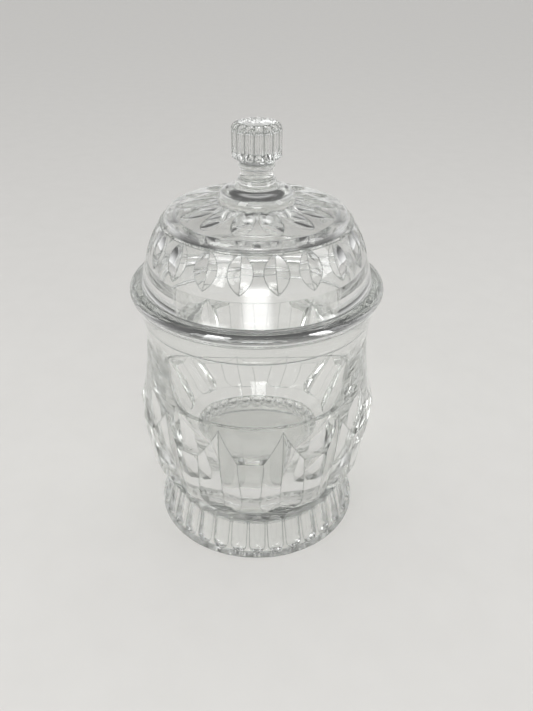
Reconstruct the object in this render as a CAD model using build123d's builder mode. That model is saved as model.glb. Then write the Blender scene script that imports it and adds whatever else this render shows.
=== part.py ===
from build123d import *
import math
import os

# Covered jar of clear pressed glass: a footed jar and a domed lid with a fluted knob.
# Millimetres, +Z up, origin on the table at the centre of the foot.

# Mouth and bore of the jar, from which every wall below is measured
jar_height = 143.0
rim_radius = 65.0
rim_width = 7.2
rim_edge = 1.2
bore_taper = 1.6
bore_step = 1.4

# Body, outside
waist_wall = 4.6
waist_height = 116.0
shoulder_swell = 1.9
shoulder_rise = 20.0
belly_wall = 11.0
belly_height = 75.0
flank_inset = 1.4
flank_drop = 15.0
heel_inset = 3.5
heel_drop = 29.0

# Bowl, inside
bore_end_rise = 15.5
bowl_inset = 3.8
bowl_drop = 15.0
floor_inset = 13.0
floor_thickness = 11.0
floor_corner = 5.0

# Collar of the body above the foot
ledge_inset = 4.2
ledge_rise = 8.5
ankle_inset = 7.5
ankle_height = 27.0

# Foot
foot_flare = 7.5
foot_batter = 0.6
foot_band_height = 3.6
foot_edge = 1.0
foot_ring_width = 7.0
hollow_draft = 4.5
hollow_height = 18.0
flute_count = 34
flute_sides = 12
flute_cutter_radius = 7.0
flute_depth = 1.6
flute_tip = 3.0
flute_tool_overrun = 0.4
flute_low_gap = 0.6
flute_high_gap = 1.2

# Almond cuts round the jar
almond_count = 12
almond_turn = -78.0
almond_sink = 3.6
almond_crest_rise = 7.0
almond_upper_curve = 128.0
almond_joint_drop = 16.0
almond_lower_curve = 300.0
almond_facet_angle = 15.0
almond_tool_margin = 2.4
almond_upper_sweep = 15.0
almond_lower_sweep = 8.0

# Lid flange and the collar that drops into the mouth
flange_overhang = 2.1
bead_low_height = 1.8
bead_wall_height = 1.8
bead_high_height = 2.5
bead_top_inset = 2.9
flange_slope_width = 3.0
flange_slope_height = 0.5
collar_clearance = 0.8
collar_depth = 14.0
collar_edge = 0.8

# Lid dome, outside
skirt_inset = 7.4
skirt_rise = 18.5
skirt_swell = 1.0
skirt_swell_drop = 4.5
skirt_lip_width = 0.9
skirt_lip_height = 4.0
band_low_width = 3.3
band_low_height = 8.5
band_high_width = 4.2
band_high_height = 7.3
cap_ledge = 2.1
cap_wall_height = 2.5
cap_edge_width = 3.4
cap_edge_height = 2.7
cap_cone_height = 4.3

# Lid dome, inside
lid_wall = 4.4
hollow_wall_drop = 6.0
hollow_bend_inset = 4.5
hollow_bend_drop = 2.0
roof_inset = 12.4
roof_edge_drop = 5.7
roof_crown_drop = 2.0

# Leaf cuts round the lid
leaf_count = 20
leaf_turn = -80.2
leaf_wheel_radius = 46.0
leaf_depth = 1.9
leaf_facet_angle = 15.0
leaf_tool_margin = 0.9
leaf_sweep = 16.0

# Petal prints on the cap
petal_count = 14
petal_turn = -76.7
petal_root = 1.0
petal_margin = 4.9
petal_sides = 12
petal_half_width = 4.4
petal_depth = 1.2
petal_tip_share = 0.38
petal_tool_overrun = 0.6

# Knob, on its plinth and neck
plinth_radius = 19.4
plinth_edge = 1.2
plinth_root = 1.0
swell_width = 1.4
swell_height = 3.2
flare_width = 7.4
flare_height = 4.4
neck_radius = 8.2
neck_foot_width = 1.0
neck_foot_height = 2.8
neck_step = 0.8
neck_height = 4.0
neck_ring_width = 0.9
neck_ring_edge = 1.4
knob_root_width = 1.4
knob_root_height = 1.0
knob_under_height = 2.0
knob_radius = 12.3
knob_wall_height = 13.2
knob_bevel_width = 1.1
knob_bevel_height = 1.8
knob_crown_width = 2.6
knob_crown_height = 1.0
knob_flute_count = 16
knob_flute_turn = -84.5
knob_flute_depth = 0.9
knob_flute_cutter_radius = 4.0
knob_flute_sides = 12
knob_flute_tip = 2.0
knob_flute_tool_overrun = 0.3
knob_flute_low_gap = 1.4
knob_flute_overrun = 0.6

# Radii of the jar, worked outwards from the mouth and down to the foot
mouth_radius = rim_radius - rim_width
bore_radius = mouth_radius - bore_taper
waist_radius = bore_radius + waist_wall
shoulder_radius = waist_radius + shoulder_swell
belly_radius = bore_radius + belly_wall
flank_radius = belly_radius - flank_inset
heel_radius = belly_radius - heel_inset
bore_end_radius = bore_radius - bore_step
bowl_radius = bore_end_radius - bowl_inset
floor_radius = bowl_radius - floor_inset
ledge_radius = heel_radius - ledge_inset
ankle_radius = ledge_radius - ankle_inset
foot_radius = ankle_radius + foot_flare
foot_slope_radius = foot_radius - foot_batter
foot_hollow_radius = foot_radius - foot_ring_width

# Heights of the jar
ledge_height = ankle_height + ledge_rise
heel_height = belly_height - heel_drop
flank_height = belly_height - flank_drop
shoulder_level = belly_height + shoulder_rise
bore_end_height = belly_height + bore_end_rise
bowl_height = belly_height - bowl_drop
floor_height = hollow_height + floor_thickness

# Radii and heights of the lid, from the rim that it sits on
flange_radius = rim_radius + flange_overhang
bead_high = jar_height + bead_low_height + bead_wall_height
bead_top = bead_high + bead_high_height
collar_radius = mouth_radius - collar_clearance
collar_foot = jar_height - collar_depth
skirt_radius = rim_radius - skirt_inset
skirt_height = jar_height + skirt_rise
band_foot_radius = skirt_radius - skirt_lip_width
band_foot_height = skirt_height + skirt_lip_height
band_middle_radius = band_foot_radius - band_low_width
band_middle_height = band_foot_height + band_low_height
band_top_radius = band_middle_radius - band_high_width
band_top_height = band_middle_height + band_high_height
cap_radius = band_top_radius - cap_ledge
cap_wall_top = band_top_height + cap_wall_height
cap_edge_radius = cap_radius - cap_edge_width
cap_edge_top = cap_wall_top + cap_edge_height
plinth_foot = cap_edge_top + cap_cone_height


def meridian_plane(origin, along):
    """A plane square to a line that lies in the XZ plane, with its local x pointing out from the part."""
    out = Vector(along.Z, 0, -along.X)
    return Plane(origin=origin, x_dir=out, z_dir=along)


# Tool for one almond cut: a shallow V that follows two arcs, one up the belly and one round the heel
almond_crest = Vector(belly_radius - almond_sink, 0, belly_height + almond_crest_rise)
upper_centre = almond_crest - Vector(almond_upper_curve, 0, 0)
joint_angle = -math.asin(almond_joint_drop / almond_upper_curve)
joint_out = Vector(math.cos(joint_angle), 0, math.sin(joint_angle))
joint_point = upper_centre + joint_out * almond_upper_curve
lower_centre = joint_point - joint_out * almond_lower_curve
joint_along = Vector(-joint_out.Z, 0, joint_out.X)
almond_tool_depth = almond_sink + almond_tool_margin
almond_half_mouth = almond_tool_depth / math.tan(math.radians(almond_facet_angle))

with BuildPart() as almond_tool:
    with BuildSketch(meridian_plane(joint_point, joint_along)) as almond_section:
        with BuildLine():
            Polyline((0, 0), (almond_tool_depth, almond_half_mouth),
                     (almond_tool_depth, -almond_half_mouth), close=True)
        make_face()
    revolve(axis=Axis(upper_centre, (0, -1, 0)), revolution_arc=almond_upper_sweep)
    revolve(almond_section.sketch, axis=Axis(lower_centre, (0, 1, 0)), revolution_arc=almond_lower_sweep)

# Tool for one flute of the foot: a faceted rod with tapered ends that lies along the slope of the foot
slope_top = Vector(ankle_radius, 0, ankle_height)
slope_low = Vector(foot_slope_radius, 0, foot_band_height)
slope_along = (slope_top - slope_low).normalized()
slope_out = Vector(slope_along.Z, 0, -slope_along.X)
flute_low_end = slope_low + slope_along * flute_low_gap + slope_out * (flute_cutter_radius - flute_depth)
flute_length = (slope_top - slope_low).length - flute_low_gap - flute_high_gap
flute_tip_radius = flute_cutter_radius - flute_depth * (1 + flute_tool_overrun / flute_tip)

with BuildPart() as flute_tool:
    for along, radius in ((-flute_tool_overrun, flute_tip_radius), (flute_tip, flute_cutter_radius),
                          (flute_length - flute_tip, flute_cutter_radius),
                          (flute_length + flute_tool_overrun, flute_tip_radius)):
        with BuildSketch(meridian_plane(flute_low_end + slope_along * along, slope_along)):
            RegularPolygon(radius, flute_sides, major_radius=False, rotation=180 / flute_sides)
    loft(ruled=True)

with BuildPart() as jar:
    # Body, from the ledge over the belly and waist to the rim, with a ring of almond cuts
    with BuildSketch(Plane.XZ):
        with BuildLine():
            Polyline((ledge_radius, ledge_height), (0, ledge_height), (0, jar_height),
                     (rim_radius, jar_height))
            neck_arc = ThreePointArc((belly_radius, belly_height), (shoulder_radius, shoulder_level),
                                     (waist_radius, waist_height))
            TangentArc(neck_arc @ 1, (rim_radius, jar_height), tangent=neck_arc % 1)
            belly_arc = ThreePointArc((belly_radius, belly_height), (flank_radius, flank_height),
                                      (heel_radius, heel_height))
            TangentArc(belly_arc @ 1, (ledge_radius, ledge_height), tangent=belly_arc % 1)
        make_face()
    revolve(axis=Axis.Z)
    with PolarLocations(0, almond_count, start_angle=almond_turn):
        add(almond_tool.part, mode=Mode.SUBTRACT)

    # Collar under the almonds, and the flared foot with a plain band and a ring of flutes
    with BuildSketch(Plane.XZ):
        with BuildLine():
            Polyline((0, 0), (foot_radius - foot_edge, 0), (foot_radius, foot_edge),
                     (foot_slope_radius, foot_band_height), (ankle_radius, ankle_height),
                     (ledge_radius, ledge_height), (0, ledge_height), close=True)
        make_face()
    revolve(axis=Axis.Z)
    with PolarLocations(0, flute_count, start_angle=-90):
        add(flute_tool.part, mode=Mode.SUBTRACT)
    with BuildSketch(Plane.XZ):
        with BuildLine():
            Polyline((0, 0), (foot_hollow_radius, 0), (foot_hollow_radius - hollow_draft, hollow_height),
                     (0, hollow_height), close=True)
        make_face()
    revolve(axis=Axis.Z, mode=Mode.SUBTRACT)

    # Cavity, with a slightly tapered bore, a small step and a deep bowl
    with BuildSketch(Plane.XZ):
        with BuildLine():
            bowl_arc = ThreePointArc((bore_end_radius, bore_end_height), (bowl_radius, bowl_height),
                                     (floor_radius, floor_height))
            Polyline(bowl_arc @ 1, (0, floor_height), (0, jar_height), (mouth_radius, jar_height),
                     (bore_radius, bore_end_height), bowl_arc @ 0)
        cavity_face = make_face()
        chamfer(cavity_face.vertices().group_by(Axis.Y)[0].sort_by(Axis.X)[-1], floor_corner)
    revolve(axis=Axis.Z, mode=Mode.SUBTRACT)

    rim_edges = jar.edges().filter_by(GeomType.CIRCLE).group_by(Axis.Z)[-1]
    chamfer(rim_edges, rim_edge)

# Tool for one leaf cut: a wheel with a V edge that dips into the band, so both ends are pointed
band_along = (Vector(band_top_radius, 0, band_top_height)
              - Vector(band_foot_radius, 0, band_foot_height)).normalized()
band_out = Vector(band_along.Z, 0, -band_along.X)
leaf_bottom = Vector(band_middle_radius, 0, band_middle_height) - band_out * leaf_depth
leaf_wheel_centre = leaf_bottom + band_out * leaf_wheel_radius
leaf_tool_depth = leaf_depth + leaf_tool_margin
leaf_half_mouth = leaf_tool_depth / math.tan(math.radians(leaf_facet_angle))

with BuildPart() as leaf_tool:
    with BuildSketch(meridian_plane(leaf_bottom, band_along)) as leaf_section:
        with BuildLine():
            Polyline((0, 0), (leaf_tool_depth, leaf_half_mouth), (leaf_tool_depth, -leaf_half_mouth),
                     close=True)
        make_face()
    revolve(axis=Axis(leaf_wheel_centre, (0, 1, 0)), revolution_arc=leaf_sweep)
    revolve(leaf_section.sketch, axis=Axis(leaf_wheel_centre, (0, -1, 0)), revolution_arc=leaf_sweep)

# Tool for one petal print: a faceted rod with long tapered ends that lies along the slope of the cap
cap_outer = Vector(cap_edge_radius, 0, cap_edge_top)
cap_inner = Vector(plinth_radius, 0, plinth_foot)
petal_along = (cap_inner - cap_outer).normalized()
petal_out = Vector(petal_along.Z, 0, -petal_along.X)
petal_length = (cap_inner - cap_outer).length - petal_margin + petal_root
petal_tip = petal_length * petal_tip_share
petal_cutter_radius = (petal_half_width ** 2 + petal_depth ** 2) / (2 * petal_depth)
petal_low_end = cap_outer + petal_along * petal_margin + petal_out * (petal_cutter_radius - petal_depth)
petal_tip_radius = petal_cutter_radius - petal_depth * (1 + petal_tool_overrun / petal_tip)

with BuildPart() as petal_tool:
    for along, radius in ((-petal_tool_overrun, petal_tip_radius), (petal_tip, petal_cutter_radius),
                          (petal_length - petal_tip, petal_cutter_radius),
                          (petal_length + petal_tool_overrun, petal_tip_radius)):
        with BuildSketch(meridian_plane(petal_low_end + petal_along * along, petal_along)):
            RegularPolygon(radius, petal_sides, major_radius=False, rotation=180 / petal_sides)
    loft(ruled=True)

# Heights of the knob, up from the foot of the plinth
plinth_top = plinth_foot + plinth_edge
swell_top = plinth_top + swell_height
flare_top = swell_top + flare_height
neck_foot_top = flare_top + neck_foot_height
neck_top = neck_foot_top + neck_step + neck_height
ring_top = neck_top + 2 * neck_ring_edge
knob_root_top = ring_top + knob_root_height
knob_low = knob_root_top + knob_under_height
knob_high = knob_low + knob_wall_height
knob_bevel_top = knob_high + knob_bevel_height
knob_top = knob_bevel_top + knob_crown_height

# Tool for one flute of the knob, a faceted rod with tapered ends
knob_flute_axis = knob_radius - knob_flute_depth + knob_flute_cutter_radius
knob_flute_low = knob_low + knob_flute_low_gap
knob_flute_high = knob_high + knob_flute_overrun
knob_flute_tip_radius = knob_flute_cutter_radius
knob_flute_tip_radius -= knob_flute_depth * (1 + knob_flute_tool_overrun / knob_flute_tip)

with BuildPart() as knob_flute_tool:
    for height, radius in ((knob_flute_low - knob_flute_tool_overrun, knob_flute_tip_radius),
                           (knob_flute_low + knob_flute_tip, knob_flute_cutter_radius),
                           (knob_flute_high - knob_flute_tip, knob_flute_cutter_radius),
                           (knob_flute_high + knob_flute_tool_overrun, knob_flute_tip_radius)):
        with BuildSketch(Plane(origin=(knob_flute_axis, 0, height))):
            RegularPolygon(radius, knob_flute_sides, major_radius=False, rotation=180 / knob_flute_sides)
    loft(ruled=True)

with BuildPart() as lid:
    # Dome, from the beaded flange up the flared skirt and the leaf band to the ledge under the cap
    with BuildSketch(Plane.XZ):
        with BuildLine():
            flange_edge = Polyline((0, collar_foot), (collar_radius - collar_edge, collar_foot),
                                   (collar_radius, collar_foot + collar_edge), (collar_radius, jar_height),
                                   (rim_radius, jar_height), (flange_radius, jar_height + bead_low_height),
                                   (flange_radius, bead_high), (flange_radius - bead_top_inset, bead_top))
            flange_slope = Line(flange_edge @ 1,
                                flange_edge @ 1 + Vector(-flange_slope_width, flange_slope_height))
            ThreePointArc(flange_slope @ 1, (skirt_radius + skirt_swell, skirt_height - skirt_swell_drop),
                          (skirt_radius, skirt_height))
            Polyline((skirt_radius, skirt_height), (band_foot_radius, band_foot_height),
                     (band_middle_radius, band_middle_height), (band_top_radius, band_top_height),
                     (0, band_top_height), (0, collar_foot))
        make_face()
    revolve(axis=Axis.Z)
    with PolarLocations(0, leaf_count, start_angle=leaf_turn):
        add(leaf_tool.part, mode=Mode.SUBTRACT)

    # Cap, a shallow cone with a rolled edge, and a ring of petal prints
    with BuildSketch(Plane.XZ):
        with BuildLine():
            Polyline((0, band_top_height - lid_wall), (cap_radius, band_top_height - lid_wall),
                     (cap_radius, cap_wall_top), (cap_edge_radius, cap_edge_top),
                     (plinth_radius, plinth_foot), (0, plinth_foot), close=True)
        make_face()
    revolve(axis=Axis.Z)
    with PolarLocations(0, petal_count, start_angle=petal_turn):
        add(petal_tool.part, mode=Mode.SUBTRACT)

    # Knob, on a swelling plinth and a short neck with a ring
    with BuildSketch(Plane.XZ):
        with BuildLine():
            swell_radius = plinth_radius - swell_width
            neck_ring_radius = neck_radius + neck_ring_width
            knob_bevel_radius = knob_radius - knob_bevel_width
            Polyline((0, plinth_foot - plinth_root), (plinth_radius, plinth_foot - plinth_root),
                     (plinth_radius, plinth_top), (swell_radius, swell_top),
                     (swell_radius - flare_width, flare_top),
                     (neck_radius + neck_foot_width, neck_foot_top),
                     (neck_radius, neck_foot_top + neck_step),
                     (neck_radius, neck_top), (neck_ring_radius, neck_top + neck_ring_edge),
                     (neck_radius, ring_top),
                     (neck_radius + knob_root_width, knob_root_top), (knob_radius, knob_low),
                     (knob_radius, knob_high), (knob_bevel_radius, knob_bevel_top),
                     (knob_bevel_radius - knob_crown_width, knob_top), (0, knob_top),
                     close=True)
        make_face()
    revolve(axis=Axis.Z)
    with PolarLocations(0, knob_flute_count, start_angle=knob_flute_turn):
        add(knob_flute_tool.part, mode=Mode.SUBTRACT)

    # Hollow under the dome, with a slightly domed roof
    hollow_radius = collar_radius - lid_wall
    with BuildSketch(Plane.XZ):
        with BuildLine():
            roof_crown = (0, cap_edge_top - roof_crown_drop)
            roof_edge = (hollow_radius - roof_inset, cap_edge_top - roof_edge_drop)
            hollow_wall = Polyline(roof_crown, (0, collar_foot), (hollow_radius, collar_foot),
                                   (hollow_radius, band_foot_height - hollow_wall_drop))
            ThreePointArc(hollow_wall @ 1,
                          (hollow_radius - hollow_bend_inset, band_middle_height - hollow_bend_drop),
                          roof_edge)
            TangentArc(roof_crown, roof_edge, tangent=(1, 0))
        make_face()
    revolve(axis=Axis.Z, mode=Mode.SUBTRACT)

os.makedirs("parts", exist_ok=True)
jar.part.label = "jar"
export_step(jar.part, "parts/jar.step")
lid.part.label = "lid"
export_step(lid.part, "parts/lid.step")
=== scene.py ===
import bpy
import bmesh
import math
from mathutils import Matrix, Vector


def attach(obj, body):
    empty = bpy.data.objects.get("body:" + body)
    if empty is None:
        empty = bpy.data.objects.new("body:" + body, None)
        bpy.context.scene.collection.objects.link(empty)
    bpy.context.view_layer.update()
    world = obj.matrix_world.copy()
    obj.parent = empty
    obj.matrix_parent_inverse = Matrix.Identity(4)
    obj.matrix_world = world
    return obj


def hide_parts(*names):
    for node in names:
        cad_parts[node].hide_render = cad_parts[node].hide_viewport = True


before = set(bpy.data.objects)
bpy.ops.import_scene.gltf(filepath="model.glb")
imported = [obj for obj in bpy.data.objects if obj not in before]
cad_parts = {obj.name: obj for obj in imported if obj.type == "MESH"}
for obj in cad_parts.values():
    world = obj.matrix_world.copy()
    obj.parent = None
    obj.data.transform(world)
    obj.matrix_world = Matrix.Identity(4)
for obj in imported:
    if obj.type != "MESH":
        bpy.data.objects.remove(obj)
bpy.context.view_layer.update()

# The floor: a wide sheet of matt pale paper with a faint grain, laid level a hair under the
# jar's foot, so that glass and paper don't share a surface. It isn't part of the jar.
MM = 0.001
floor_half = 9.0
floor_drop = 0.15 * MM
paper_colour = (0.66, 0.65, 0.63, 1.0)
paper_dark = (0.625, 0.615, 0.595, 1.0)
paper_roughness = 0.85
grain_scale, grain_detail = 40, 6

floor_bm = bmesh.new()
bmesh.ops.create_grid(floor_bm, x_segments=1, y_segments=1, size=floor_half)
bmesh.ops.translate(floor_bm, verts=floor_bm.verts, vec=(0, 0, -floor_drop))
floor_mesh = bpy.data.meshes.new("studio_floor")
floor_bm.to_mesh(floor_mesh)
floor_bm.free()
floor = bpy.data.objects.new("studio_floor", floor_mesh)
bpy.context.collection.objects.link(floor)


def node_in(tree, kind, settings=(), **values):
    """A new node with its settings, and then plain values on its sockets (_ stands for a space)."""
    node = tree.nodes.new(kind)
    for name, setting in settings:
        setattr(node, name, setting)
    for name, value in values.items():
        node.inputs[name.replace("_", " ")].default_value = value
    return node


paper = bpy.data.materials.new("floor_paper")
paper.use_nodes = True
tree, links = paper.node_tree, paper.node_tree.links
shader = tree.nodes["Principled BSDF"]
shader.inputs["Roughness"].default_value = paper_roughness
place = node_in(tree, "ShaderNodeTexCoord")
grain = node_in(tree, "ShaderNodeTexNoise", Scale=grain_scale, Detail=grain_detail)
tone = node_in(tree, "ShaderNodeMix", [("data_type", "RGBA")], A=paper_dark, B=paper_colour)
links.new(place.outputs["Object"], grain.inputs["Vector"])
links.new(grain.outputs["Fac"], tone.inputs["Factor"])
links.new(tone.outputs["Result"], shader.inputs["Base Color"])
floor_mesh.materials.append(paper)

# The studio light: a plain white sky, a large window-like softbox on the left and a weaker one
# on the right. What glass mirrors or bends is the same white wall, with a darker ceiling and one
# bright window behind the camera, so that clear glass has edges to show.
sky_white = (1.0, 1.0, 1.0, 1.0)
sky_light = 0.86
ceiling_start, ceiling_full, ceiling_tone = 0.05, 0.55, 0.11
window_half_width, window_half_height = 0.30, 0.22
window_middle, window_blur, window_glow = 0.10, 0.18, 8.0
lamp_aim = Vector((0, 0, 0.1))
most_bounces, glass_bounces = 32, 24

world = bpy.data.worlds.new("studio_sky")
bpy.context.scene.world = world
world.use_nodes = True
tree, links = world.node_tree, world.node_tree.links
tree.nodes.clear()


def sky_math(kind, first, second):
    """A Math node of the sky, fed by sockets or by plain values."""
    node = node_in(tree, "ShaderNodeMath", [("operation", kind)])
    for socket, value in zip(node.inputs, (first, second)):
        if isinstance(value, bpy.types.NodeSocket):
            links.new(value, socket)
        else:
            socket.default_value = value
    return node.outputs["Value"]


def sky_ramp(value, start, end, last, kind):
    """1 where a value is under the start, going over to the last tone at the end."""
    node = node_in(tree, "ShaderNodeMapRange", [("interpolation_type", kind)],
                   From_Min=start, From_Max=end, To_Min=1.0, To_Max=last)
    links.new(value, node.inputs["Value"])
    return node.outputs["Result"]


def window_band(distance, half):
    """1 in the middle of the window and 0 outside it, with a blurred edge between."""
    return sky_ramp(distance, half - window_blur, half, 0.0, "SMOOTHSTEP")


def mix_shaders(factor, first, second):
    """The first shader where the factor is 0, and the second where it is 1."""
    node = node_in(tree, "ShaderNodeMixShader")
    for socket, source in zip(node.inputs, (factor, first, second)):
        links.new(source, socket)
    return node.outputs["Shader"]


way = node_in(tree, "ShaderNodeTexCoord")
split = node_in(tree, "ShaderNodeSeparateXYZ")
links.new(way.outputs["Generated"], split.inputs["Vector"])
ceiling = sky_ramp(split.outputs["Z"], ceiling_start, ceiling_full, ceiling_tone, "LINEAR")
across = window_band(sky_math("ABSOLUTE", split.outputs["X"], 0.0), window_half_width)
from_middle = sky_math("ABSOLUTE", sky_math("SUBTRACT", split.outputs["Z"], window_middle), 0.0)
upright = window_band(from_middle, window_half_height)
behind_camera = sky_math("LESS_THAN", split.outputs["Y"], 0.0)
window = sky_math("MULTIPLY", sky_math("MULTIPLY", across, upright), behind_camera)

mirrored = node_in(tree, "ShaderNodeBackground", Color=sky_white)
window_light = sky_math("MULTIPLY", window, window_glow)
links.new(sky_math("ADD", ceiling, window_light), mirrored.inputs["Strength"])
white_wall = node_in(tree, "ShaderNodeBackground", Color=sky_white)
soft_light = node_in(tree, "ShaderNodeBackground", Color=sky_white, Strength=sky_light)
path = node_in(tree, "ShaderNodeLightPath")
by_glass = sky_math("MAXIMUM", path.outputs["Is Glossy Ray"], path.outputs["Is Transmission Ray"])
lit = mix_shaders(by_glass, soft_light.outputs["Background"], mirrored.outputs["Background"])
seen = mix_shaders(path.outputs["Is Camera Ray"], lit, white_wall.outputs["Background"])
links.new(seen, node_in(tree, "ShaderNodeOutputWorld").inputs["Surface"])


def softbox(name, place, width, height, watts):
    """A plain rectangular lamp at a place, turned to face the jar."""
    lamp = bpy.data.lights.new(name, "AREA")
    lamp.shape = "RECTANGLE"
    lamp.size, lamp.size_y = width, height
    lamp.energy = watts
    holder = bpy.data.objects.new(name, lamp)
    bpy.context.collection.objects.link(holder)
    facing = (lamp_aim - Vector(place)).to_track_quat("-Z", "Y")
    holder.matrix_world = Matrix.Translation(place) @ facing.to_matrix().to_4x4()


softbox("window_left", place=(-0.75, -0.75, 0.75), width=0.5, height=0.8, watts=5.5)
softbox("fill_right", place=(0.95, -0.25, 0.65), width=0.35, height=0.7, watts=2.5)

# light is reflected many times inside thick glass, and would go out black at the usual limits
cycles = bpy.context.scene.cycles
cycles.max_bounces = most_bounces
cycles.glossy_bounces = cycles.transmission_bounces = cycles.transparent_max_bounces = glass_bounces

# The camera has the photograph's place: a little above the jar, looking down at it.
# Its angles and distance come from the circles of the rim, the lid and the foot.
camera_place = Vector((0, -0.3411, 0.3055))
camera_pitch = math.radians(31.15)
camera_yaw = math.radians(0.91)
camera_roll = math.radians(-0.386)
focal_pixels = 699.5
photo_height = 711
sensor_long_side = 36.0
nearest_seen = 0.01

forward = Vector((math.sin(camera_yaw) * math.cos(camera_pitch),
                  math.cos(camera_yaw) * math.cos(camera_pitch), -math.sin(camera_pitch)))
level_right = Vector((math.cos(camera_yaw), -math.sin(camera_yaw), 0))
level_down = forward.cross(level_right)
right = level_right * math.cos(camera_roll) + level_down * math.sin(camera_roll)
down = level_down * math.cos(camera_roll) - level_right * math.sin(camera_roll)
camera_turn = Matrix((right, -down, -forward)).transposed()
lens = bpy.data.cameras.new("camera")
lens.sensor_width = sensor_long_side
lens.lens = sensor_long_side * focal_pixels / photo_height
lens.clip_start = nearest_seen
camera = bpy.data.objects.new("camera", lens)
bpy.context.collection.objects.link(camera)
camera.matrix_world = Matrix.Translation(camera_place) @ camera_turn.to_4x4()
bpy.context.scene.camera = camera

# The jar: one piece of clear pressed glass, a thick-walled bowl on a flared foot.
# The mould gives the turned form, the twelve almond cuts round the belly and the ring of
# thumb-print flutes round the foot, and leaves the edges a little soft.
up, outwards, inwards = (0, 1), (1, 0), (-1, 0)
turn_steps = 360
plain_step = 3.0
weld_mm = 1e-4


class Outline:
    """A turned outline in the XZ plane, drawn through (radius, height) points in millimetres."""

    def __init__(self, start):
        self.bm = bmesh.new()
        self.end = self.bm.verts.new((start[0], 0, start[1]))

    def line(self, *points):
        """Straight lines from point to point."""
        for r, z in points:
            self.end = bmesh.ops.extrude_vert_indiv(self.bm, verts=[self.end])["verts"][0]
            self.end.co = (r, 0, z)
        return self

    def sweep(self, centre, angle, step):
        """Carries the end round a centre by an angle, anticlockwise from X to Z."""
        steps = max(2, math.ceil(abs(math.degrees(angle)) / step))
        spun = bmesh.ops.spin(self.bm, geom=[self.end], cent=(centre[0], 0, centre[1]), axis=(0, -1, 0),
                              angle=angle, steps=steps)
        self.end = [v for v in spun["geom_last"] if isinstance(v, bmesh.types.BMVert)][0]
        return self

    def arc(self, via, to, step=plain_step):
        """An arc through a point to an end."""
        ax, az = self.end.co.x, self.end.co.z
        (bx, bz), (cx, cz) = via, to
        d = 2 * (ax * (bz - cz) + bx * (cz - az) + cx * (az - bz))
        a2, b2, c2 = ax * ax + az * az, bx * bx + bz * bz, cx * cx + cz * cz
        centre = ((a2 * (bz - cz) + b2 * (cz - az) + c2 * (az - bz)) / d,
                  (a2 * (cx - bx) + b2 * (ax - cx) + c2 * (bx - ax)) / d)
        first = math.atan2(az - centre[1], ax - centre[0])
        middle = (math.atan2(bz - centre[1], bx - centre[0]) - first) % math.tau
        last = (math.atan2(cz - centre[1], cx - centre[0]) - first) % math.tau
        return self.sweep(centre, last if middle < last else last - math.tau, step)

    def tangent(self):
        """The direction in which the outline ends."""
        edge = self.end.link_edges[0]
        way = self.end.co - edge.other_vert(self.end).co
        return Vector((way.x, way.z))

    def tangent_arc(self, to, leave=None, step=plain_step):
        """An arc that leaves along a direction, or goes on smoothly, and ends at a point."""
        leave = leave or self.tangent()
        ax, az = self.end.co.x, self.end.co.z
        length = math.hypot(*leave)
        nx, nz = -leave[1] / length, leave[0] / length
        dx, dz = to[0] - ax, to[1] - az
        reach = (dx * dx + dz * dz) / (2 * (dx * nx + dz * nz))
        centre = (ax + nx * reach, az + nz * reach)
        first = math.atan2(az - centre[1], ax - centre[0])
        last = math.atan2(to[1] - centre[1], to[0] - centre[0])
        turn = (last - first) % math.tau
        return self.sweep(centre, turn if reach > 0 else turn - math.tau, step)

    def turned(self, steps=turn_steps):
        """The outline spun round the upright axis into a closed shell."""
        bm = self.bm
        bmesh.ops.spin(bm, geom=bm.verts[:] + bm.edges[:], cent=(0, 0, 0), axis=(0, 0, 1),
                       angle=math.tau, steps=steps, use_merge=True)
        bmesh.ops.remove_doubles(bm, verts=bm.verts, dist=weld_mm)
        bmesh.ops.recalc_face_normals(bm, faces=bm.faces)
        return bm


def end_way(trial):
    """The direction in which a trial outline ends. The trial is thrown away."""
    way = trial.tangent()
    trial.bm.free()
    return way


def to_piece(bm, name):
    """An object from a bmesh drawn in millimetres."""
    bmesh.ops.scale(bm, vec=(MM, MM, MM), verts=bm.verts)
    mesh = bpy.data.meshes.new(name)
    bm.to_mesh(mesh)
    bm.free()
    piece = bpy.data.objects.new(name, mesh)
    bpy.context.collection.objects.link(piece)
    return piece


def join(piece, tool, how):
    """Cuts a tool from a piece, or adds it, and takes the tool away."""
    boolean = piece.modifiers.new("join", "BOOLEAN")
    boolean.operation = how
    boolean.solver = "MANIFOLD"
    boolean.object = tool
    made = bpy.data.meshes.new_from_object(piece.evaluated_get(bpy.context.evaluated_depsgraph_get()))
    piece.modifiers.clear()
    old, spare = piece.data, tool.data
    made.name = old.name
    piece.data = made
    bpy.data.meshes.remove(old)
    bpy.data.objects.remove(tool)
    bpy.data.meshes.remove(spare)


def cut_ring(piece, tool_bm, count, turn):
    """Cuts a tool from a piece at equal turns round the upright axis, every second one in each pass."""
    for first in (0, 1):
        ring = bmesh.new()
        tool_mesh = bpy.data.meshes.new("tool")
        tool_bm.to_mesh(tool_mesh)
        for k in range(first, count, 2):
            before = len(ring.verts)
            ring.from_mesh(tool_mesh)
            ring.verts.ensure_lookup_table()
            place = Matrix.Rotation(turn + math.tau * k / count, 3, "Z")
            bmesh.ops.rotate(ring, cent=(0, 0, 0), matrix=place, verts=ring.verts[before:])
        bpy.data.meshes.remove(tool_mesh)
        join(piece, to_piece(ring, "ring_of_tools"), "DIFFERENCE")
    tool_bm.free()


def in_space(point):
    """A point of an outline as a vector."""
    return Vector((point[0], 0, point[1]))


def along_and_out(low, top):
    """The directions up a slope of the outline and straight out of it."""
    along = (top - low).normalized()
    return along, Vector((along.z, 0, -along.x))


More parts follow.
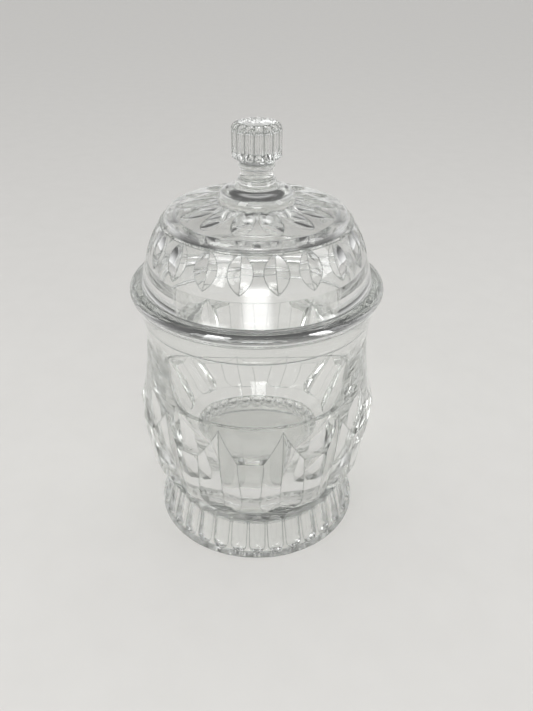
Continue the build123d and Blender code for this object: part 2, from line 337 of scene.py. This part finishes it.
# outline, from the crown of the hollow under the foot, over the foot, belly and rim, to the floor
hollow_crown, hollow_edge = (0, 18.0), (47.0, 18.0)
hollow_bend, hollow_side = (47.8, 17.6), (48.2, 16.8)
ring_inner, ring_outer, toe_bend, toe = (52.5, 0), (58.5, 0), (59.2, 0.3), (59.5, 1.0)
slope_foot, waist, ledge = (58.9, 3.6), (52.0, 27.0), (59.5, 35.5)
heel, belly_low, belly_wide = (63.7, 46), (65.8, 60), (67.19, 75)
shoulder, neck = (62.7, 95), (60.8, 116)
rim_r, mouth_r, rim_z, rim_round = 65.0, 57.8, 143, 1.2
step_outer, step_inner = (56.2, 90.5), (54.8, 90.5)
bowl_side, bowl_heel, bowl_edge, bowl_middle = (51, 60), (40.3, 31.9), (33.5, 29), (0, 29)
toe_step, belly_step, shoulder_step, rim_step, bowl_step = 15, 0.6, 1.5, 10, 1.0

heel_way = end_way(Outline(belly_wide).arc(belly_low, heel))
ledge_way = -end_way(Outline(heel).tangent_arc(ledge, heel_way))
jar_line = Outline(hollow_crown).line(hollow_edge).arc(hollow_bend, hollow_side, toe_step)
jar_line.line(ring_inner, ring_outer).arc(toe_bend, toe, toe_step)
jar_line.line(slope_foot, waist, ledge).tangent_arc(heel, ledge_way)
jar_line.arc(belly_low, belly_wide, belly_step).arc(shoulder, neck, shoulder_step)
jar_line.tangent_arc((rim_r, rim_z - rim_round), step=shoulder_step)
jar_line.tangent_arc((rim_r - rim_round, rim_z), up, rim_step)
jar_line.line((mouth_r + rim_round, rim_z)).tangent_arc((mouth_r, rim_z - rim_round), inwards, rim_step)
jar_line.line(step_outer, step_inner).arc(bowl_side, bowl_heel, bowl_step)
jar_line.tangent_arc(bowl_edge, step=rim_step).line(bowl_middle)
jar = to_piece(jar_line.turned(), "jar_glass")


def v_section(bm, valley, out, depth):
    """A V-shaped face: its valley at a point, opening outwards to a depth."""
    half = Vector((0, depth / math.tan(v_slope), 0))
    corners = [valley, valley + out * depth + half, valley + out * depth - half]
    return bm.faces.new([bm.verts.new(corner) for corner in corners])


def trim_level(bm, height, side):
    """Takes off what lies above a height (side 1) or below it (side -1) and closes the tool."""
    bmesh.ops.bisect_plane(bm, geom=bm.verts[:] + bm.edges[:] + bm.faces[:], plane_co=(0, 0, height),
                           plane_no=(0, 0, side), clear_outer=True)
    bmesh.ops.holes_fill(bm, edges=[e for e in bm.edges if e.is_boundary], sides=0)
    bmesh.ops.recalc_face_normals(bm, faces=bm.faces)


# tool for the almond cuts: a shallow V carried up the belly on one arc and round the heel on another
almonds, first_almond = 12, math.radians(-78)
v_slope = math.radians(15)
almond_depth = 4.3
crest_r, crest_z, joint_z = 63.6, 82.0, 66.0
upper_curve, lower_curve = 128.0, 300.0
upper_sweep, lower_sweep, almond_steps = math.radians(15), math.radians(7), 24
same_place = 1e-3
joint_angle = math.asin((joint_z - crest_z) / upper_curve)
upper_centre = Vector((crest_r - upper_curve, 0, crest_z))
joint_out = Vector((math.cos(joint_angle), 0, math.sin(joint_angle)))
joint_point = upper_centre + joint_out * upper_curve
lower_centre = joint_point - joint_out * lower_curve
almond = bmesh.new()
section = v_section(almond, joint_point, joint_out, almond_depth)
section_middle = joint_point + joint_out * almond_depth * 2 / 3
copied = bmesh.ops.duplicate(almond, geom=[section])["geom"]
lower_section = [g for g in copied if isinstance(g, bmesh.types.BMFace)]
bmesh.ops.spin(almond, geom=[section], cent=upper_centre, axis=(0, -1, 0), angle=upper_sweep,
               steps=almond_steps)
bmesh.ops.spin(almond, geom=lower_section, cent=lower_centre, axis=(0, 1, 0), angle=lower_sweep,
               steps=almond_steps)
inner = [f for f in almond.faces
         if len(f.verts) == 3 and (f.calc_center_median() - section_middle).length < same_place]
bmesh.ops.delete(almond, geom=inner, context="FACES_ONLY")
bmesh.ops.remove_doubles(almond, verts=almond.verts, dist=weld_mm)
trim_level(almond, ledge[1], -1)
cut_ring(jar, almond, almonds, first_almond)


def capsule(radius, start, end, segments):
    """A round-ended rod between two points, from a sphere drawn out along its axis."""
    bm = bmesh.new()
    bmesh.ops.create_uvsphere(bm, u_segments=segments, v_segments=segments // 2, radius=radius)
    equator = [e for e in bm.edges if all(abs(v.co.z) <= weld_mm for v in e.verts)]
    bmesh.ops.split_edges(bm, edges=equator)
    top = {v for f in bm.faces if any(v.co.z > weld_mm for v in f.verts) for v in f.verts}
    bmesh.ops.translate(bm, verts=list(top), vec=(0, 0, (end - start).length))
    bmesh.ops.bridge_loops(bm, edges=[e for e in bm.edges if e.is_boundary])
    bmesh.ops.recalc_face_normals(bm, faces=bm.faces)
    turn = (end - start).to_track_quat("Z", "Y").to_matrix()
    bmesh.ops.rotate(bm, cent=(0, 0, 0), matrix=turn, verts=bm.verts)
    bmesh.ops.translate(bm, verts=bm.verts, vec=start)
    return bm


def half_print(radius, depth):
    """Half the width of the print that a round tool leaves at a depth."""
    return math.sqrt(radius ** 2 - (radius - depth) ** 2)


# tool for the flutes of the foot
flutes, first_flute = 34, math.radians(-90)
flute_r, flute_depth, flute_segments = 6.2, 1.95, 96
toe_margin, waist_margin = 0.6, 1.2
slope_low, slope_top = in_space(slope_foot), in_space(waist)
slope_along, slope_out = along_and_out(slope_low, slope_top)
flute_reach = half_print(flute_r, flute_depth)
flute_start = slope_low + slope_along * (toe_margin + flute_reach) + slope_out * (flute_r - flute_depth)
flute_length = (slope_top - slope_low).length - toe_margin - waist_margin - 2 * flute_reach
flute_end = flute_start + slope_along * flute_length
cut_ring(jar, capsule(flute_r, flute_start, flute_end, flute_segments), flutes, first_flute)

weld_m = 2e-6
crease_angle = math.radians(5.5)


def finish_glass(piece):
    """Merges what the cuts left double and keeps the creases of the mould crisp."""
    bm = bmesh.new()
    bm.from_mesh(piece.data)
    bmesh.ops.remove_doubles(bm, verts=bm.verts, dist=weld_m)
    bmesh.ops.dissolve_degenerate(bm, edges=bm.edges, dist=weld_m)
    for face in bm.faces:
        face.smooth = True
    bm.to_mesh(piece.data)
    bm.free()
    piece.data.set_sharp_from_angle(angle=crease_angle)


finish_glass(jar)

# clear pressed glass: a slow wave left by the mould, a trace of haze and a faint grey-green depth
glass_ior = 1.55
glass_clear = (0.97, 0.975, 0.97, 1.0)
wave_scale, wave_detail, wave_strength, wave_height = 45, 1.5, 0.12, 0.0006
haze_scale, haze_detail, haze_start, haze_full, haze_roughness = 160, 4, 0.45, 0.8, 0.025
depth_colour, depth_density = (0.80, 0.815, 0.79, 1.0), 5.0
shade_colour = (0.95, 0.955, 0.95, 1.0)
soft_edge_radius, soft_edge_samples = 0.0008, 6
# the darker glass colour along the creases is painted shade, standing in for dark refracted outlines
painted_crease_shade_colour, crease_shade_start, crease_shade_full = (0.22, 0.24, 0.23, 1.0), 0.9997, 0.9935

glass = bpy.data.materials.new("clear_glass")
glass.use_nodes = True
tree, links = glass.node_tree, glass.node_tree.links
shader, output = tree.nodes["Principled BSDF"], tree.nodes["Material Output"]
shader.inputs["Transmission Weight"].default_value = 1.0
shader.inputs["IOR"].default_value = glass_ior
place = node_in(tree, "ShaderNodeTexCoord")
soft_edge = node_in(tree, "ShaderNodeBevel", [("samples", soft_edge_samples)], Radius=soft_edge_radius)
wave = node_in(tree, "ShaderNodeTexNoise", Scale=wave_scale, Detail=wave_detail)
bump = node_in(tree, "ShaderNodeBump", Strength=wave_strength, Distance=wave_height)
links.new(place.outputs["Object"], wave.inputs["Vector"])
links.new(wave.outputs["Fac"], bump.inputs["Height"])
links.new(soft_edge.outputs["Normal"], bump.inputs["Normal"])
links.new(bump.outputs["Normal"], shader.inputs["Normal"])
haze = node_in(tree, "ShaderNodeTexNoise", Scale=haze_scale, Detail=haze_detail)
dull = node_in(tree, "ShaderNodeMapRange", From_Min=haze_start, From_Max=haze_full,
               To_Max=haze_roughness)
links.new(place.outputs["Object"], haze.inputs["Vector"])
links.new(haze.outputs["Fac"], dull.inputs["Value"])
links.new(dull.outputs["Result"], shader.inputs["Roughness"])

# the softened normal leaves the face's own only along a crease, where painted shade darkens the glass's
# colour
face_way = node_in(tree, "ShaderNodeNewGeometry")
match = node_in(tree, "ShaderNodeVectorMath", [("operation", "DOT_PRODUCT")])
painted_crease_shade = node_in(tree, "ShaderNodeMapRange", From_Min=crease_shade_start, From_Max=crease_shade_full)
glass_or_crease_shade = node_in(tree, "ShaderNodeMix", [("data_type", "RGBA")], A=glass_clear, B=painted_crease_shade_colour)
links.new(soft_edge.outputs["Normal"], match.inputs[0])
links.new(face_way.outputs["Normal"], match.inputs[1])
links.new(match.outputs["Value"], painted_crease_shade.inputs["Value"])
links.new(painted_crease_shade.outputs["Result"], glass_or_crease_shade.inputs["Factor"])
links.new(glass_or_crease_shade.outputs["Result"], shader.inputs["Base Color"])

# light passes the glass to the floor with a slight loss, and the glass takes some up inside
path = node_in(tree, "ShaderNodeLightPath")
shade = node_in(tree, "ShaderNodeBsdfTransparent", Color=shade_colour)
lit = mix_shaders(path.outputs["Is Shadow Ray"], shader.outputs["BSDF"], shade.outputs["BSDF"])
links.new(lit, output.inputs["Surface"])
tint = node_in(tree, "ShaderNodeVolumeAbsorption", Color=depth_colour, Density=depth_density)
links.new(tint.outputs["Volume"], output.inputs["Volume"])

jar.data.materials.clear()
jar.data.materials.append(glass)
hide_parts("jar")
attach(jar, "jar")

# The lid: a second piece of the same glass, a domed cover with a locating collar that drops into
# the mouth. Twenty leaf cuts ring the dome, fourteen petal prints ring the cap, and the knob
# on its flared plinth is pressed in one with it.
seat_z = 143.06

# outline, from the cap's middle under the plinth, over cap, band, skirt and flange, and back inside
cone_middle, cone_top, cap_edge = (0, 191.05), (18.0, 191.05), (43.7, 186.5)
cap_wall_top, cap_foot, band_top = (47.1, 182.6), (47.1, 181.3), (49.2, 181.3)
band_middle, band_foot = (53.4, 174.0), (56.7, 165.5)
skirt_middle, skirt_foot = (58.72, 158.0), (61.2, 149.6)
flange_shelf, flange_top = (64.2, 149.1), (64.7, 148.6)
flange_wide, flange_under = (67.1, 145.7), (65.0, seat_z)
collar_top, collar_low = (57.0, seat_z), (57.0, 129.8)
collar_tip, collar_inner = (56.2, 129.0), (52.6, 129.0)
dome_foot, dome_side, roof_edge, roof_crown = (52.6, 159.5), (48.1, 172.0), (40.2, 180.8), (0, 184.5)
skirt_step, flange_step, dome_step, roof_step = 1.0, 4, 2, 1

cap_way = -end_way(Outline(cap_wall_top).tangent_arc(cap_edge, up))
roof_way = -end_way(Outline(roof_crown).tangent_arc(roof_edge, outwards, roof_step))
lid_line = Outline(cone_middle).line(cone_top, cap_edge).tangent_arc(cap_wall_top, cap_way)
lid_line.line(cap_foot, band_top).arc(band_middle, band_foot, skirt_step)
lid_line.arc(skirt_middle, skirt_foot, skirt_step)
lid_line.line(flange_shelf, flange_top).arc(flange_wide, flange_under, flange_step)
lid_line.line(collar_top, collar_low, collar_tip, collar_inner, dome_foot)
lid_line.arc(dome_side, roof_edge, dome_step).tangent_arc(roof_crown, roof_way, roof_step)
lid = to_piece(lid_line.turned(), "lid_glass")

# tool for the leaf cuts: a wheel with a V edge
leaves, first_leaf = 20, math.radians(-80.2)
wheel_r, wheel_bite, leaf_depth = 46.0, 1.9, 2.8
wheel_sweep, wheel_steps = math.radians(32), 32
band_out = along_and_out(in_space(band_foot), in_space(band_top))[1]
leaf_bottom = in_space(band_middle) - band_out * wheel_bite
wheel_centre = leaf_bottom + band_out * wheel_r
leaf = bmesh.new()
section = v_section(leaf, leaf_bottom, band_out, leaf_depth)
wheel_start = Matrix.Rotation(-wheel_sweep / 2, 3, "Y")
bmesh.ops.rotate(leaf, cent=wheel_centre, matrix=wheel_start, verts=leaf.verts)
bmesh.ops.spin(leaf, geom=[section], cent=wheel_centre, axis=(0, 1, 0), angle=wheel_sweep,
               steps=wheel_steps)
trim_level(leaf, band_top[1], 1)
cut_ring(lid, leaf, leaves, first_leaf)

# tool for the petal prints: an oval pressed into the slope of the cap
petals, first_petal = 14, math.radians(-76.7)
petal_half, petal_depth = 5.4, 2.4
petal_outer_r, petal_inner_r = 41.2, 18.0
petal_segments, petal_rings = 96, 64
plinth_r, plinth_foot = 19.4, 190.8
cap_outer, cap_inner = in_space(cap_edge), Vector((plinth_r, 0, plinth_foot))
petal_along, petal_out = along_and_out(cap_outer, cap_inner)
petal_round = (petal_half ** 2 + petal_depth ** 2) / (2 * petal_depth)
petal_long = (petal_outer_r - petal_inner_r) / 2 / (petal_half / petal_round)
petal_share = (cap_edge[0] - (petal_outer_r + petal_inner_r) / 2) / (cap_edge[0] - plinth_r)
petal_middle = cap_outer.lerp(cap_inner, petal_share)
petal = bmesh.new()
bmesh.ops.create_uvsphere(petal, u_segments=petal_segments, v_segments=petal_rings, radius=1)
bmesh.ops.scale(petal, vec=(petal_round, petal_round, petal_long), verts=petal.verts)
petal_turn = Matrix((petal_out, petal_along.cross(petal_out), petal_along)).transposed()
bmesh.ops.rotate(petal, cent=(0, 0, 0), matrix=petal_turn, verts=petal.verts)
petal_centre = petal_middle + petal_out * (petal_round - petal_depth)
bmesh.ops.translate(petal, verts=petal.verts, vec=petal_centre)
cut_ring(lid, petal, petals, first_petal)


def over_plinth(r, height):
    """A point of the knob's outline, its height measured from the foot of the plinth."""
    return r, plinth_foot + height


# the knob on its plinth, with a beaded neck between them
knob_r, knob_turn_steps = 12.3, 144
plinth_axis, plinth_root = over_plinth(0, -1.0), over_plinth(plinth_r, -1.0)
plinth_edge = over_plinth(plinth_r, 1.2)
swell_top, neck_root = over_plinth(14.4, 6.8), over_plinth(9.2, 11.6)
neck_low, neck_high = over_plinth(8.2, 12.4), over_plinth(8.2, 16.4)
bead_wide, bead_top, knob_root = over_plinth(9.1, 17.8), over_plinth(8.2, 19.2), over_plinth(9.6, 20.2)
knob_low, knob_high = over_plinth(knob_r, 22.2), over_plinth(knob_r, 35.4)
crown_bend, crown_edge = over_plinth(11.2, 37.2), over_plinth(8.6, 38.2)
crown_dip = over_plinth(0, 37.5)
plinth_step, bead_step = 4, 5

knob_line = Outline(plinth_axis).line(plinth_root, plinth_edge)
knob_line.tangent_arc(swell_top, up, plinth_step).tangent_arc(neck_root, step=plinth_step)
knob_line.line(neck_low, neck_high).arc(bead_wide, bead_top, bead_step)
knob_line.line(knob_root, knob_low, knob_high).arc(crown_bend, crown_edge, plinth_step).line(crown_dip)
knob = to_piece(knob_line.turned(knob_turn_steps), "knob")

# tool for the flutes of the knob
knob_flutes, first_knob_flute = 16, math.radians(-84.5)
knob_flute_r, knob_flute_depth, knob_flute_segments = 2.9, 1.25, 96
flutes_from, flutes_to = 21.0, 36.0
knob_flute_reach = half_print(knob_flute_r, knob_flute_depth)
flute_axis = knob_r - knob_flute_depth + knob_flute_r
flute_low = Vector((flute_axis, 0, plinth_foot + flutes_from))
flute_high = Vector((flute_axis, 0, plinth_foot + flutes_to - knob_flute_reach))
flute_rod = capsule(knob_flute_r, flute_low, flute_high, knob_flute_segments)
cut_ring(knob, flute_rod, knob_flutes, first_knob_flute)

# tool for the scallops that notch the knob's top edge, one over each flute
scallop_r, scallop_depth, scallop_segments = 2.6, 0.8, 80
scallop_lift, scallop_margin, scallop_length = 0.35, 0.9, 2.4
edge_low, edge_top = in_space(over_plinth(knob_r, 35.2)), in_space(over_plinth(9.2, 38.2))
edge_along, edge_out = along_and_out(edge_low, edge_top)
scallop_stand = edge_out * (scallop_r - scallop_depth + scallop_lift)
scallop_start = edge_low + scallop_stand + edge_along * scallop_margin
scallop_end = scallop_start + edge_along * scallop_length
scallop_rod = capsule(scallop_r, scallop_start, scallop_end, scallop_segments)
cut_ring(knob, scallop_rod, knob_flutes, first_knob_flute)
join(lid, knob, "UNION")
finish_glass(lid)
lid.data.materials.clear()
lid.data.materials.append(glass)
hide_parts("lid")
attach(lid, "lid")

bpy.context.scene.view_settings.view_transform = "Standard"
